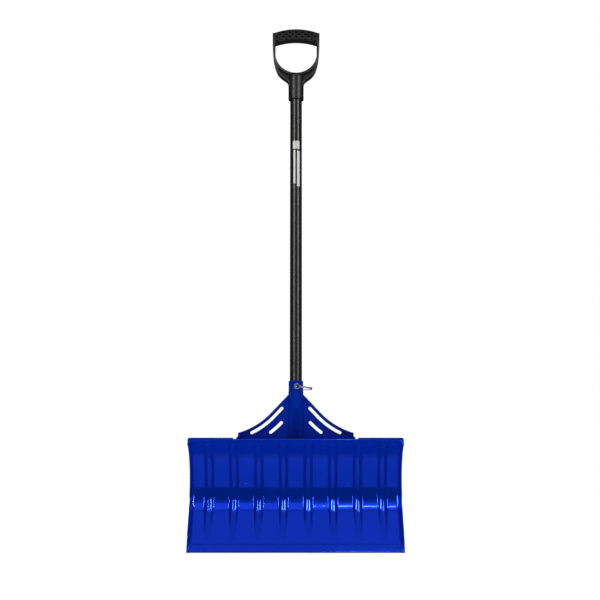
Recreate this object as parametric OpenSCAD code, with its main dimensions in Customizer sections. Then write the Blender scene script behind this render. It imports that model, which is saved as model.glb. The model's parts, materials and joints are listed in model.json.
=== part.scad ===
// Snow shovel: a ribbed scoop blade riveted to a moulded yoke, a tube shaft that
// drops into the yoke's socket, a wire-lock pin that holds it there, and a D-grip.
// +Z runs up along the shaft, -Y is the scooping side, and the origin is the
// middle of the cutting edge.

/* [Blade] */
// Width of the blade across its side flanges
blade_w = 546; // [530:2:600]
// Height of the lip's inner face above the cutting edge
lip_z = 279; // [272:1:281]
// Height of the blade's deepest line
deep_z = 166; // [162:1:170]
// Radius of the face below the deepest line
low_r = 160; // [150:1:170]
// Lean of the straight lower face from the vertical
low_lean = 29; // [26:0.5:32]
// Radius of the curl above the deepest line
top_r = 120; // [118:1:128]
// Thickness of the blade's wall
wall = 3; // [2.5:0.1:3.5]
// Height of the upright rim at both ends of the lip
rim_h = 5.5; // [4:0.5:8]
// Half of the gap in the rim where the yoke sits
rim_gap = 156; // [150:1:170]
// Reach of the side flanges in front of the face
flange_h = 12; // [8:0.5:15]

/* [Blade ribs] */
// Distance between neighbouring ribs
rib_pitch = 63.7; // [62:0.1:66]
// Width of a rib at its base
rib_w = 30; // [24:1:34]
// Height of a rib above the face
rib_h = 7; // [4:0.5:8]
// Height on the blade where the ribs reach full size
rib_full_z = 100; // [90:1:110]
// Height on the blade where the ribs have run out
rib_end_z = 28; // [22:1:34]

/* [Yoke] */
// Height of the top of the socket's collar
socket_top = 434; // [428:1:440]
// Height of the socket's open lower end
socket_low = 118; // [112:1:124]
// Outer radius of the socket's collar
collar_r = 19.2; // [18.8:0.1:19.6]
// Outer radius of the socket at its lower end
tube_r = 20.2; // [19.8:0.1:20.6]
// Thickness of the web
web_t = 5; // [4:0.5:6]
// Depth of the flange along the web's edge, front to back
edge_d = 18; // [14:1:22]
// Slope of the web's straight upper edge
edge_slope = 46.5; // [45:0.5:48]
// Radius of the web's curved lower edge
edge_r = 190; // [185:1:195]
// Width of the long and short slots
slot_w = 8; // [7:0.5:10]
// Distance of each rivet from the middle
rivet_x = 130.2; // [129.5:0.1:131]

/* [Shaft] */
// Outer radius of the shaft
shaft_r = 16; // [15.6:0.1:16]
// Wall of the shaft
shaft_wall = 1; // [0.8:0.1:1.5]
// Height of the shaft's lower end, on the socket's ledge
shaft_low = 260; // [240:1:280]
// Height of the shaft's upper end
shaft_top = 1252; // [1245:1:1254]

/* [Lock pin] */
// Height of the lock pin
pin_z = 419; // [417:1:421]
// Radius of the lock pin
pin_r = 4; // [3.6:0.1:4.2]
// Radius of the bail's wire
wire_r = 1.05; // [0.9:0.05:1.1]
// How far the bail leans below the level at rest
bail_tilt = 7.4; // [0:0.2:15]
// Reach of the bail to the side of the pin
bail_reach = 42.5; // [38:0.5:44]

/* [Grip] */
// Height of the lower end of the grip's socket
grip_low = 1206; // [1200:1:1212]
// Outer radius of the grip's socket
grip_r = 20.8; // [20:0.1:21.5]
// Half width of the hand opening
hand_r = 57.4; // [55:0.2:58]
// Height of the centre of the hand opening's round lower part
hand_z = 1338; // [1335:0.5:1342]
// Height of the top of the grip's bar
grip_top = 1409.5; // [1405:0.5:1412]
// Height of the bar's section
bar_h = 36; // [32:0.5:38]
// Depth of the bar's section, front to back
bar_d = 32; // [28:0.5:36]
// Half of the grip's overall width
grip_half = 64.8; // [63.5:0.1:66]

/* [Hidden] */
$fn = 64;
eps = 0.01;

// Gap left between the blade's back and the yoke
seat_gap = 0.3;
straight_z = deep_z - low_r * sin(low_lean);
straight_f = low_r * (1 - cos(low_lean));
edge_f = straight_f + straight_z * tan(low_lean);
top_lean = asin((lip_z - deep_z) / top_r);
lip_f = top_r * (1 - cos(top_lean));
deep_y = edge_f - wall / (2 * cos(low_lean));
shaft_y = deep_y + wall + seat_gap + tube_r;

// Grid of the blade's face: steps along the profile and across a rib
straight_steps = 6;
low_steps = 4;
top_steps = 8;
rib_steps = [-1, -0.58, -0.2, 0.2, 0.58, 1];
rib_n = 8;
flange_steps = [0, 25, 50, 72, 90];
// Width of the side flange's curved part, its reach at the cutting edge, the height
// where it is full, and the height over which the ribs run out below the lip
flange_w = 14.5;
flange_low_h = 3;
flange_full_z = 40;
rib_run_out = 9;

// Web: where the straight edge turns into the arc, ends, feet and lower edge
turn = [65, 350];
turn_c = turn + edge_r * [sin(edge_slope), cos(edge_slope)];
edge_t = 4;
edge_run = 69;
web_end = 151.5;
foot_end = 156;
foot_z = 286;
web_low = 190;
deck_z = 266;
deck_t = 4;
rib_t = 3;
// Slots: distance inside the edge, and where each starts and ends along it
long_slot = [12.3, -28, 69.4];
short_slot = [37.2, 0, 31.5];
slot_rim = 2.5;
slot_lift = 2;
// Pads that the rivets clamp to the blade
pad_half = 17;
pad_t = 3.5;
pad_reach = 18;

rivet_r = 2.4;
rivet_head_r = 4.5;
rivet_head_h = 1.6;
washer_t = 1;
washer_r = 7;
hole_play = 0.08;
socket_play = 0.2;

// Lock pin and bail
pin_tip = 22.6;
pin_shoulder = 19.7;
pin_head_r = 5;
pin_head_end = 31;
bail_pivot = 26;
bail_front = 24;
bail_eye_v = 6.6;
bail_strand_v = 1.3;
loop_r = 6.7;
loop_u = 2.6;
wire_play = 0.25;

// Grip
bar_arch_r = 188;
bar_arch_z = grip_top - bar_arch_r;
fork_t = 8;
fork_d = 26;
fork_rim = 4;
grip_bore_top = 1254;
screw_z = 1224;
screw_r = 2;
screw_boss = 21.4;

// Smooth ramp from 0 at a to 1 at b
function ramp(v, a, b) = let (k = max(0, min(1, (v - a) / (b - a)))) k * k * (3 - 2 * k);
function unit(v) = v / norm(v);
// Left-hand normal of an open path at point i
function path_normal(p, i) =
    let (t = unit(p[min(i + 1, len(p) - 1)] - p[max(i - 1, 0)])) [-t[1], t[0]];
// An open path moved d to its left
function shifted(p, d) = [for (i = [0 : len(p) - 1]) p[i] + d * path_normal(p, i)];
function reversed(p) = [for (i = [len(p) - 1 : -1 : 0]) p[i]];
function mirrored(p) = [for (q = reversed(p)) [-q[0], q[1]]];
// An open path with each inner corner cut by a curve that starts r before it
function rounded(p, r, n = 5) = concat([p[0]],
    [for (i = [1 : len(p) - 2])
        let (a = p[i - 1] - p[i], b = p[i + 1] - p[i],
             c = min(r, norm(a) * 0.48, norm(b) * 0.48),
             s = p[i] + c * unit(a), e = p[i] + c * unit(b))
        for (k = [0 : n]) let (t = k / n)
            (1 - t) * (1 - t) * s + 2 * t * (1 - t) * p[i] + t * t * e],
    [p[len(p) - 1]]);

// Draws a flat shape, given as [x, z], standing up and centred on y = 0
module upright(depth) {
    rotate([90, 0, 0]) linear_extrude(depth, center = true) children();
}
// Draws a flat shape, given as [y, z], standing up and centred on x = 0
module sideways(width) {
    rotate([90, 0, 90]) linear_extrude(width, center = true) children();
}
// Draws what it holds on the right and its mirror image on the left
module both_sides() {
    children();
    mirror([1, 0, 0]) children();
}
// Points +Z of what it holds to the front, from the shaft's axis at height z
module forward(z) {
    translate([0, shaft_y, z]) rotate([90, 0, 0]) children();
}

// ---- Blade ----

// Profile of the face: [reach in front of the deepest line, height, lean]
profile = concat(
    [for (i = [0 : straight_steps - 1]) let (z = straight_z * i / straight_steps)
        [edge_f - z * tan(low_lean), z, low_lean]],
    [for (i = [0 : low_steps]) let (a = low_lean * (1 - i / low_steps))
        [low_r * (1 - cos(a)), deep_z - low_r * sin(a), a]],
    [for (i = [1 : top_steps]) let (a = top_lean * i / top_steps)
        [top_r * (1 - cos(a)), deep_z + top_r * sin(a), -a]]);

function rib_grown(z) = ramp(z, rib_end_z, rib_full_z);
function rib_half(z) = rib_w / 2 * (0.35 + 0.65 * rib_grown(z));
// The ribs run out again just below the lip, which is straight
function rib_size(z) = rib_grown(z) * (1 - ramp(z, lip_z - rib_run_out, lip_z));
function flange_at(z) = flange_low_h + (flange_h - flange_low_h) * ramp(z, 0, flange_full_z);
function flange_side(z) = [for (a = flange_steps)
    [blade_w / 2 - wall - flange_w + flange_w * sin(a), flange_at(z) * (1 - cos(a))]];
// Section across the blade at height z: [x, height above the face]
function section(z) = concat(
    mirrored(flange_side(z)),
    [for (k = [0 : rib_n - 1]) for (u = rib_steps)
        [(k - (rib_n - 1) / 2) * rib_pitch + u * rib_half(z),
         rib_h * rib_size(z) * (1 + cos(180 * u)) / 2]],
    flange_side(z));
// Sets a section's point at profile row r; the cutting edge is cut off level
function set_point(q, r) = let (p = profile[r], lean = p[2])
    r == 0 ? [q[0], deep_y - p[0] - q[1] / cos(lean), 0]
           : [q[0], deep_y - p[0] - q[1] * cos(lean), p[1] + q[1] * sin(lean)];

module blade_skin() {
    rows = len(profile);
    cols = len(section(0));
    front = [for (r = [0 : rows - 1]) for (q = section(profile[r][1])) set_point(q, r)];
    back = [for (r = [0 : rows - 1]) for (q = shifted(section(profile[r][1]), -wall))
        set_point(q, r)];
    n = rows * cols;
    polyhedron(concat(front, back), concat(
        [for (r = [0 : rows - 2]) for (c = [0 : cols - 2]) let (i = r * cols + c)
            [i, i + cols, i + cols + 1, i + 1]],
        [for (r = [0 : rows - 2]) for (c = [0 : cols - 2]) let (i = n + r * cols + c)
            [i, i + 1, i + cols + 1, i + cols]],
        [for (c = [0 : cols - 2]) [c, c + 1, n + c + 1, n + c]],
        [for (c = [0 : cols - 2]) let (i = n - cols + c) [i + 1, i, n + i, n + i + 1]],
        [for (r = [0 : rows - 2]) let (i = r * cols) [i + cols, i, n + i, n + i + cols]],
        [for (r = [0 : rows - 2]) let (i = r * cols + cols - 1)
            [i, i + cols, n + i + cols, n + i]]));
}
module lip_rim() {
    half = blade_w / 2;
    corner = 5.5;
    low = lip_z - 1;
    top = lip_z + rim_h;
    bend = half - wall - flange_w;
    drop = flange_h * sin(top_lean);
    // Along its bottom the rim follows the lip, then the side flange down its curve
    outline = concat([[rim_gap, low], [rim_gap + rim_h / 2, top]],
        [for (a = [90 : -15 : 0]) [half - corner, top - corner] + corner * [cos(a), sin(a)]],
        [[half, lip_z - drop]],
        [for (a = [90 : -15 : 15]) [bend + flange_w * sin(a), lip_z - drop * (1 - cos(a))]],
        [[bend, low]]);
    translate([0, deep_y - lip_f + wall / 2, 0]) upright(wall) polygon(outline);
}
module blade() color("royalblue") difference() {
    union() {
        blade_skin();
        both_sides() lip_rim();
    }
    for (s = [-1, 1]) translate([s * rivet_x, deep_y - wall, deep_z]) rotate([-90, 0, 0])
        cylinder(r = rivet_r + hole_play, h = wall * 3);
}

// ---- Yoke ----

// Point on the web's edge, moved d inwards: s runs up the straight where it is
// negative and along the arc where it is positive
function edge_point(d, s) =
    let (a = edge_slope - max(0, s) * 180 / (PI * edge_r))
    turn_c - (edge_r + d) * [sin(a), cos(a)]
        + max(0, -s) * [-cos(edge_slope), sin(edge_slope)];
edge_stop = (edge_slope - asin((turn_c[0] - web_end) / edge_r)) * PI * edge_r / 180;
// Stretch of the edge from s1 to s2, moved d inwards
function edge_path(d, s1, s2, n = 10) = concat([edge_point(d, s1)],
    [for (i = [0 : n]) edge_point(d, max(s1, 0) + (s2 - max(s1, 0)) * i / n)]);
function band(d1, d2, s1, s2) = concat(edge_path(d1, s1, s2), reversed(edge_path(d2, s1, s2)));

module slot(s, w) {
    polygon(band(s[0] - w / 2, s[0] + w / 2, s[1], s[2]));
    for (k = [1, 2]) translate(edge_point(s[0], s[k])) circle(d = w, $fn = 32);
}
module slots(w) {
    slot(long_slot, w);
    slot(short_slot, w);
}
module web_outline() {
    polygon(concat([[0, web_low], [foot_end, web_low], [foot_end, foot_z],
        [web_end, foot_z + 3]], reversed(edge_path(0, -edge_run, edge_stop)),
        [[0, edge_point(0, -edge_run)[1]]]));
}
module edge_flange() {
    polygon(band(0, edge_t, -edge_run, edge_stop));
    translate([foot_end - edge_t, web_low]) square([edge_t, foot_z - web_low]);
    translate([web_end - edge_t, foot_z - edge_t])
        square([edge_t, edge_point(0, edge_stop)[1] - foot_z + edge_t]);
    translate([0, web_low]) square([foot_end, edge_t]);
}
module web() {
    both_sides() {
        upright(web_t) difference() {
            web_outline();
            slots(slot_w);
        }
        upright(web_t + 2 * slot_lift) difference() {
            slots(slot_w + 2 * slot_rim);
            slots(slot_w);
        }
        upright(edge_d) edge_flange();
    }
}
// Point on the seat behind the blade, gap behind its back, at height z: [y, z]
function seat_point(gap, z) =
    let (low = z < deep_z, r = (low ? low_r : top_r), o = r + wall + gap)
    [deep_y - r + o * cos(asin((z - deep_z) / o)), z];
function seat(gap, z1, z2, n = 10) = [for (i = [0 : n]) seat_point(gap, z1 + (z2 - z1) * i / n)];

module pad_and_gussets() {
    pad_low = deep_z - pad_reach;
    pad_top = deep_z + pad_reach;
    sideways(2 * pad_half) polygon(concat(seat(seat_gap, pad_low, pad_top),
        reversed(seat(seat_gap + pad_t, pad_low, pad_top))));
    for (s = [-1, 1]) translate([s * (pad_half - rib_t / 2), 0, 0]) gusset();
}
// Upright rib between the web and the blade's back
module gusset() {
    back = shaft_y + web_t / 2;
    sideways(rib_t) polygon(concat(seat(seat_gap, deep_z - pad_reach, deck_z, 16),
        [[back, deck_z], [back, web_low], seat_point(seat_gap + pad_t, deep_z - pad_reach)]));
}
module deck() {
    sideways(2 * web_end) polygon([seat_point(seat_gap, deck_z - deck_t),
        seat_point(seat_gap, deck_z), [shaft_y, deck_z], [shaft_y, deck_z - deck_t]]);
}
module socket_body() {
    step = 404;
    translate([0, 0, socket_low])
        cylinder(r1 = tube_r, r2 = collar_r + 0.6, h = step - socket_low);
    translate([0, 0, step - eps]) cylinder(r1 = collar_r + 0.6, r2 = collar_r, h = 4);
    translate([0, 0, step]) cylinder(r = collar_r, h = socket_top - step - 1.2);
    translate([0, 0, socket_top - 1.2 - eps])
        cylinder(r1 = collar_r, r2 = collar_r - 1.2, h = 1.2);
}
module yoke() color("royalblue") difference() {
    union() {
        translate([0, shaft_y, 0]) {
            socket_body();
            web();
        }
        deck();
        for (s = [-1, 1]) {
            translate([s * rivet_x, 0, 0]) pad_and_gussets();
            translate([s * rib_pitch, 0, 0]) gusset();
        }
    }
    translate([0, shaft_y, shaft_low]) cylinder(r = shaft_r + socket_play, h = socket_top);
    translate([0, shaft_y, socket_low - 1]) cylinder(r = shaft_r - 1, h = socket_top);
    forward(pin_z) cylinder(r = pin_r + hole_play, h = 3 * tube_r, center = true);
    for (s = [-1, 1]) translate([s * rivet_x, deep_y, deep_z]) rotate([-90, 0, 0])
        cylinder(r = rivet_r + hole_play, h = wall + seat_gap + pad_t + 2);
}
module rivet() {
    // Distances along the rivet from the face's deepest line to the back; the head's
    // rim stays clear of the hollow face
    under_head = -0.4;
    clamp = wall + seat_gap + pad_t + washer_t + 0.05;
    tail_r = 4;
    tail_h = 1.8;
    rotate([-90, 0, 0]) rotate_extrude() polygon([[0, under_head - rivet_head_h],
        [rivet_head_r * 0.55, under_head - rivet_head_h],
        [rivet_head_r, under_head - rivet_head_h * 0.35], [rivet_head_r, under_head],
        [rivet_r, under_head], [rivet_r, clamp], [tail_r, clamp],
        [tail_r * 0.8, clamp + tail_h], [0, clamp + tail_h]]);
}
module yoke_rivets() color("mediumblue") {
    for (s = [-1, 1]) translate([s * rivet_x, deep_y, deep_z]) rivet();
}
module rivet_washers() color("silver") {
    back = wall + seat_gap + pad_t;
    for (s = [-1, 1]) translate([s * rivet_x, deep_y + back, deep_z]) rotate([-90, 0, 0])
        difference() {
            cylinder(r = washer_r, h = washer_t);
            translate([0, 0, -1]) cylinder(r = rivet_r + hole_play, h = washer_t + 2);
        }
}

// ---- Shaft ----

module shaft() color("dimgray") difference() {
    translate([0, shaft_y, shaft_low]) cylinder(r = shaft_r, h = shaft_top - shaft_low);
    translate([0, shaft_y, shaft_low - 1])
        cylinder(r = shaft_r - shaft_wall, h = shaft_top - shaft_low + 2);
    forward(pin_z) cylinder(r = pin_r + hole_play, h = 3 * shaft_r, center = true);
    forward(screw_z) mirror([0, 0, 1]) cylinder(r = screw_r + hole_play, h = 2 * shaft_r);
}

// ---- Grip ----

// Right-hand outline of the fork, from the socket up to the bar's corner
fork_side = rounded([[grip_r, 1244], [grip_r + 0.8, 1256.5], [49.5, 1277.5],
    [60.5, 1309], [63.9, 1340], [grip_half, 1370], [grip_half, 1396.5]], 14, 4);

module fork_outline(inset = 0) {
    side = shifted(fork_side, inset);
    polygon(concat(mirrored(side), side));
}
module hand_opening(grow = 0) {
    translate([0, hand_z]) circle(r = hand_r + grow, $fn = 96);
    translate([-hand_r - grow, hand_z]) square([2 * (hand_r + grow), 40]);
}
// Section of the bar, as [distance from the arch's centre, depth]
bar_section = [for (a = [0 : 10 : 350]) let (c = cos(a), s = sin(a), p = 0.72)
    [bar_arch_r - bar_h / 2 + bar_h / 2 * sign(c) * pow(abs(c), p),
     bar_d / 2 * sign(s) * pow(abs(s), p)]];
module bar() {
    half = asin((grip_half - 0.6) / bar_arch_r);
    translate([0, 0, bar_arch_z]) rotate([90, 0, 0]) rotate([0, 0, 90 - half])
        rotate_extrude(angle = 2 * half, $fn = 144) polygon(bar_section);
}
module d_grip() color("dimgray") translate([0, shaft_y, 0]) difference() {
    union() {
        difference() {
            union() {
                upright(fork_t) fork_outline();
                upright(fork_d) difference() {
                    fork_outline();
                    fork_outline(fork_rim);
                }
                upright(fork_d) intersection() {
                    fork_outline();
                    hand_opening(fork_rim);
                }
                translate([0, 0, grip_low + 1]) cylinder(r = grip_r, h = 82);
                translate([0, 0, grip_low]) cylinder(r1 = grip_r - 1, r2 = grip_r, h = 1);
            }
            upright(60) hand_opening();
        }
        bar();
        translate([0, 0, screw_z]) rotate([-90, 0, 0]) cylinder(r = 7, h = screw_boss);
    }
    translate([0, 0, grip_low - 1])
        cylinder(r = shaft_r + socket_play, h = grip_bore_top - grip_low + 1);
    translate([0, 0, screw_z]) rotate([-90, 0, 0])
        cylinder(r = screw_r + hole_play, h = screw_boss + 5);
}
module grip_screw() color("silver") translate([0, shaft_y, screw_z]) rotate([-90, 0, 0]) {
    translate([0, 0, 12]) cylinder(r = screw_r, h = screw_boss - 12 + eps);
    difference() {
        translate([0, 0, screw_boss]) cylinder(r1 = 4.2, r2 = 3.4, h = 2.6);
        for (a = [0, 90]) rotate([0, 0, a]) translate([-2.4, -0.5, screw_boss + 1.2])
            cube([4.8, 1, 3]);
    }
}

// ---- Lock pin and bail ----

module lock_pin() color("silver") forward(pin_z) difference() {
    union() {
        translate([0, 0, -pin_shoulder - 1]) cylinder(r = pin_r, h = pin_shoulder + pin_tip);
        translate([0, 0, pin_tip - 1 - eps]) cylinder(r1 = pin_r, r2 = pin_r - 1, h = 1);
        translate([0, 0, -pin_head_end + 1])
            cylinder(r = pin_head_r, h = pin_head_end - pin_shoulder - 1);
        translate([0, 0, -pin_head_end]) cylinder(r1 = pin_head_r - 1, r2 = pin_head_r, h = 1);
    }
    translate([0, 0, -bail_pivot]) rotate([0, 0, -bail_tilt]) rotate([90, 0, 0])
        cylinder(r = wire_r + wire_play, h = 3 * pin_head_r, center = true);
}

// Half of the bail's wire, as [side, up, forward], from the loop's far side to the eye
loop_turn = 38;
loop_end = loop_r * [cos(loop_turn), sin(loop_turn)];
loop_run = (loop_end[1] - bail_strand_v) / cos(loop_turn);
half_loop = [for (a = [180 : -10 : loop_turn])
    [loop_u + loop_r * cos(a), loop_r * sin(a), bail_front]];
half_route = rounded([
    [loop_u + loop_end[0], loop_end[1], bail_front],
    [loop_u + loop_end[0] + loop_run * sin(loop_turn), bail_strand_v, bail_front],
    [bail_reach, bail_strand_v, bail_front],
    [bail_reach, bail_strand_v, -bail_pivot],
    [12, bail_eye_v, -bail_pivot],
    [0, bail_eye_v, -bail_pivot],
    [0, 1.6, -bail_pivot]], 9, 5);
lower_half = [for (q = concat(half_loop, half_route)) [q[0], -q[1], q[2]]];
upper_half = concat([for (i = [1 : len(half_loop) - 1]) half_loop[i]], half_route);
bail_path = concat(reversed(lower_half), upper_half);

// Frames that turn as little as they can along a path
function carry(t, i, n) = i == len(t) ? []
    : let (m = unit(n - (n * t[i]) * t[i])) concat([m], carry(t, i + 1, m));
module tube_along(path, r, sides) {
    last = len(path) - 1;
    t = [for (i = [0 : last]) unit(path[min(i + 1, last)] - path[max(i - 1, 0)])];
    n = carry(t, 0, [1, 0, 0]);
    points = [for (i = [0 : last]) for (k = [0 : sides - 1]) let (a = 360 * k / sides)
        path[i] + r * (cos(a) * n[i] + sin(a) * cross(t[i], n[i]))];
    polyhedron(points, concat(
        [[for (k = [sides - 1 : -1 : 0]) k]],
        [for (i = [0 : last - 1]) for (k = [0 : sides - 1])
            let (a = i * sides + k, b = i * sides + (k + 1) % sides)
            [a, b, b + sides, a + sides]],
        [[for (k = [0 : sides - 1]) last * sides + k]]));
}
module pin_bail() color("silver") forward(pin_z) rotate([0, 0, -bail_tilt])
    tube_along(bail_path, wire_r, 8);

blade();
yoke();
yoke_rivets();
rivet_washers();
shaft();
d_grip();
grip_screw();
lock_pin();
pin_bail();
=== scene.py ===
"""Looks of the snow shovel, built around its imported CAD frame.

Shapes are worked out in millimetres, in the frame's own axes: +Z up along the
shaft, -Y the scooping side. They become metres only when a mesh is made.
"""

import json
import math

import bmesh
import bpy
from mathutils import Matrix, Vector


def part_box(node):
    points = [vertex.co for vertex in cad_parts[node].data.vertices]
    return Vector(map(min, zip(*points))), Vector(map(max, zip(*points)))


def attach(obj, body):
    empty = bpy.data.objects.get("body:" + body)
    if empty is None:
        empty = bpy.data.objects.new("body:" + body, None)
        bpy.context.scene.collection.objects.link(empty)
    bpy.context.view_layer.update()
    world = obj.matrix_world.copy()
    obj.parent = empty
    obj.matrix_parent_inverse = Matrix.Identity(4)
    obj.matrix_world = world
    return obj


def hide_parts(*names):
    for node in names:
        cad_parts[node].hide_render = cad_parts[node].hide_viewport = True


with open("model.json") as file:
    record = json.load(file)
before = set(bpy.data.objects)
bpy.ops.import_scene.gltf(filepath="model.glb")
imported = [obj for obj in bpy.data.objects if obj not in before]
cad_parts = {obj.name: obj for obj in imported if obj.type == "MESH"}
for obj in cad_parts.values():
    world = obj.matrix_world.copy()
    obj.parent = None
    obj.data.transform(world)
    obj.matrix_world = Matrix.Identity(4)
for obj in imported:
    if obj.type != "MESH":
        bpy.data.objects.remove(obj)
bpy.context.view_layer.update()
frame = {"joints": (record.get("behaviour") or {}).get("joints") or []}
MM = 0.001


# ---- Sizes taken from the frame ----

def box_mm(node):
    low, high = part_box(node)
    return low / MM, high / MM


def joint(name):
    return next(j for j in frame["joints"] if j["name"] == name)


BLADE_LOW, BLADE_HIGH = box_mm("blade")
YOKE_LOW, YOKE_HIGH = box_mm("yoke")
SHAFT_LOW, SHAFT_HIGH = box_mm("shaft")
GRIP_LOW, GRIP_HIGH = box_mm("d_grip")
RIVETS_LOW, RIVETS_HIGH = box_mm("yoke_rivets")
WASHERS_LOW, WASHERS_HIGH = box_mm("rivet_washers")
SCREW_LOW, SCREW_HIGH = box_mm("grip_screw")
PIN_LOW, PIN_HIGH = box_mm("lock_pin")

SHAFT_Y = joint("lock_pin_turn")["pos_m"][1] / MM
PIN_Z = joint("lock_pin_turn")["pos_m"][2] / MM
SHAFT_R = (SHAFT_HIGH.x - SHAFT_LOW.x) / 2
SHAFT_WALL = 1
SCREW_Z = (SCREW_LOW.z + SCREW_HIGH.z) / 2
SCREW_R = 2
# Printed stripes on the shaft's front: left, right, low, high
STRIPES = ((-7.0, -1.4, 967, 1060), (2.6, 10.2, 959, 1058), (-8.5, 9.5, 1064, 1086))

# ---- Blade ----
BLADE_W = BLADE_HIGH.x - BLADE_LOW.x
DEEP_Z = (RIVETS_LOW.z + RIVETS_HIGH.z) / 2
RIM_H = 5.5
LIP_Z = BLADE_HIGH.z - RIM_H
WALL = 3
LOW_R = 160
LOW_LEAN = math.radians(29)
TOP_R = 120
TOP_LEAN = math.asin((LIP_Z - DEEP_Z) / TOP_R)
STRAIGHT_Z = DEEP_Z - LOW_R * math.sin(LOW_LEAN)
EDGE_F = LOW_R * (1 - math.cos(LOW_LEAN)) + STRAIGHT_Z * math.tan(LOW_LEAN)
DEEP_Y = EDGE_F - WALL / (2 * math.cos(LOW_LEAN))
LIP_F = TOP_R * (1 - math.cos(TOP_LEAN))
RIM_GAP = 156
RIM_CORNER = 5.5
RIB_PITCH = 63.7
RIB_COUNT = 8
RIB_H = 7.5
# Rounds from a rib's crest to its wall, as (radius, lean at the end), and at its foot
RIB_ROUNDS = ((7, 20), (22, 42))
RIB_FOOT_R = 4.5
RIB_FULL_Z = 140
RIB_END_Z = 28
RIB_RUN_OUT = 14
FLANGE_W = 14.5
FLANGE_H = 12
FLANGE_LOW_H = 3
FLANGE_FULL_Z = 40
# Thicker strip along the cutting edge, and the chamfer that thins it again
STRIP_Z = 20
STRIP_H = 0.5
CHAMFER_Z = 3.5
CHAMFER_H = 1.1

# ---- Yoke ----
SOCKET_TOP = YOKE_HIGH.z
SOCKET_LOW = YOKE_LOW.z
SOCKET_STEP_Z = 404
COLLAR_R = 19.2
TUBE_TOP_R = 19.8
TUBE_LOW_R = 20.2
BORE_R = SHAFT_R + 0.2
LEDGE_Z = SHAFT_LOW.z
FLUTE_TOP = 362
FLUTE_COUNT = 9
FLUTE_STEP = math.radians(12.5)
FLUTE_DEPTH = 2.2
WEB_T = 5
EDGE_D = 18
EDGE_T = 7
EDGE_ROUND = 2
EDGE_SLOPE = math.radians(46.5)
EDGE_R = 190
EDGE_RUN = 69
TURN = Vector((65, 350))
TURN_C = TURN + EDGE_R * Vector((math.sin(EDGE_SLOPE), math.cos(EDGE_SLOPE)))
WEB_END = 151.5
FOOT_END = YOKE_HIGH.x
FOOT_Z = 286
WEB_LOW = 190
DECK_Z = 266
DECK_T = 4
RIB_T = 3
SLOT_W = 8
SLOT_RIM = 2.5
SLOT_LIFT = 2
LONG_SLOT = (12.3, -28, 69.4)
SHORT_SLOT = (37.2, 0, 31.5)
SEAT_GAP = 0.3
RIVET_X = (WASHERS_HIGH.x + RIVETS_HIGH.x) / 2 - (7 + 4.5) / 2
PAD_HALF = 17
PAD_T = 3.5
PAD_REACH = 18

# ---- Pin and bail ----
PIN_R = 4
PIN_HEAD_R = (PIN_HIGH.x - PIN_LOW.x) / 2
PIN_TIP = SHAFT_Y - PIN_LOW.y
PIN_END = PIN_HIGH.y - SHAFT_Y
PIN_SHOULDER = 19.7
SWING = joint("bail_swing")
BAIL_PIVOT = SWING["pos_m"][1] / MM - SHAFT_Y
BAIL_TILT = math.asin(SWING["axis"][0])
BAIL_FRONT = 24
BAIL_REACH = 42.5
BAIL_EYE = 6.6
BAIL_STRAND = 1.3
WIRE_R = 1.05
LOOP_R = 6.7
LOOP_SIDE = 2.6
LOOP_TURN = math.radians(38)

# ---- Grip ----
GRIP_R = 20.8
GRIP_HALF = (GRIP_HIGH.x - GRIP_LOW.x) / 2
HAND_R = 57.4
HAND_Z = 1338
BAR_H = 36
BAR_D = 32
ARCH_R = 172
SQUARENESS = 0.72
FORK_T = 13
FORK_D = 26
FORK_RIM = 4.5
RING_W = 7
# Dome at the sleeve's top, up to the ring: its height, and how far it comes in
SLEEVE_DOME = 11
SLEEVE_STEP = 8
FORK_TOP = 1396.5
POCKET_PITCH = 17.5
POCKET_ROW = 6.3
POCKET_MID_Z = GRIP_HIGH.z - 25.5
POCKET_HALF = (4.4, 3.1)
POCKET_DEPTH = 5.5
POCKET_MARGIN = 3


# ---- Mesh tools ----

def ramp(value, start, end):
    """Smooth step from 0 at start to 1 at end."""
    k = min(1.0, max(0.0, (value - start) / (end - start)))
    return k * k * (3 - 2 * k)


def steps(start, end, count):
    return [start + (end - start) * i / count for i in range(count + 1)]


def link(name, mesh):
    piece = bpy.data.objects.new(name, mesh)
    bpy.context.scene.collection.objects.link(piece)
    return piece


def solid(name, points, faces, merge=1e-3):
    """An object from points in millimetres, with its normals turned outwards."""
    mesh = bpy.data.meshes.new(name)
    mesh.from_pydata([Vector(p) * MM for p in points], [], faces)
    bm = bmesh.new()
    bm.from_mesh(mesh)
    bmesh.ops.remove_doubles(bm, verts=bm.verts, dist=merge * MM)
    bmesh.ops.recalc_face_normals(bm, faces=bm.faces)
    bm.to_mesh(mesh)
    bm.free()
    return link(name, mesh)


def grid(rows, cols, start=0, around=False, flip=False):
    """Quads over points stored row by row; around joins the last column to the first."""
    faces = []
    for r in range(rows - 1):
        for c in range(cols if around else cols - 1):
            a = start + r * cols + c
            b = start + r * cols + (c + 1) % cols
            quad = (a, b, b + cols, a + cols)
            faces.append(quad[::-1] if flip else quad)
    return faces


def applied(piece):
    """Replaces a piece's mesh by what its modifiers make of it."""
    graph = bpy.context.evaluated_depsgraph_get()
    mesh = bpy.data.meshes.new_from_object(piece.evaluated_get(graph))
    piece.modifiers.clear()
    piece.data = mesh
    return piece


def rounded_edges(piece, width, angle=40, segments=3):
    bevel = piece.modifiers.new("round", "BEVEL")
    bevel.width = width * MM
    bevel.segments = segments
    bevel.limit_method = "ANGLE"
    bevel.angle_limit = math.radians(angle)
    bevel.harden_normals = False
    return applied(piece)


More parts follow.
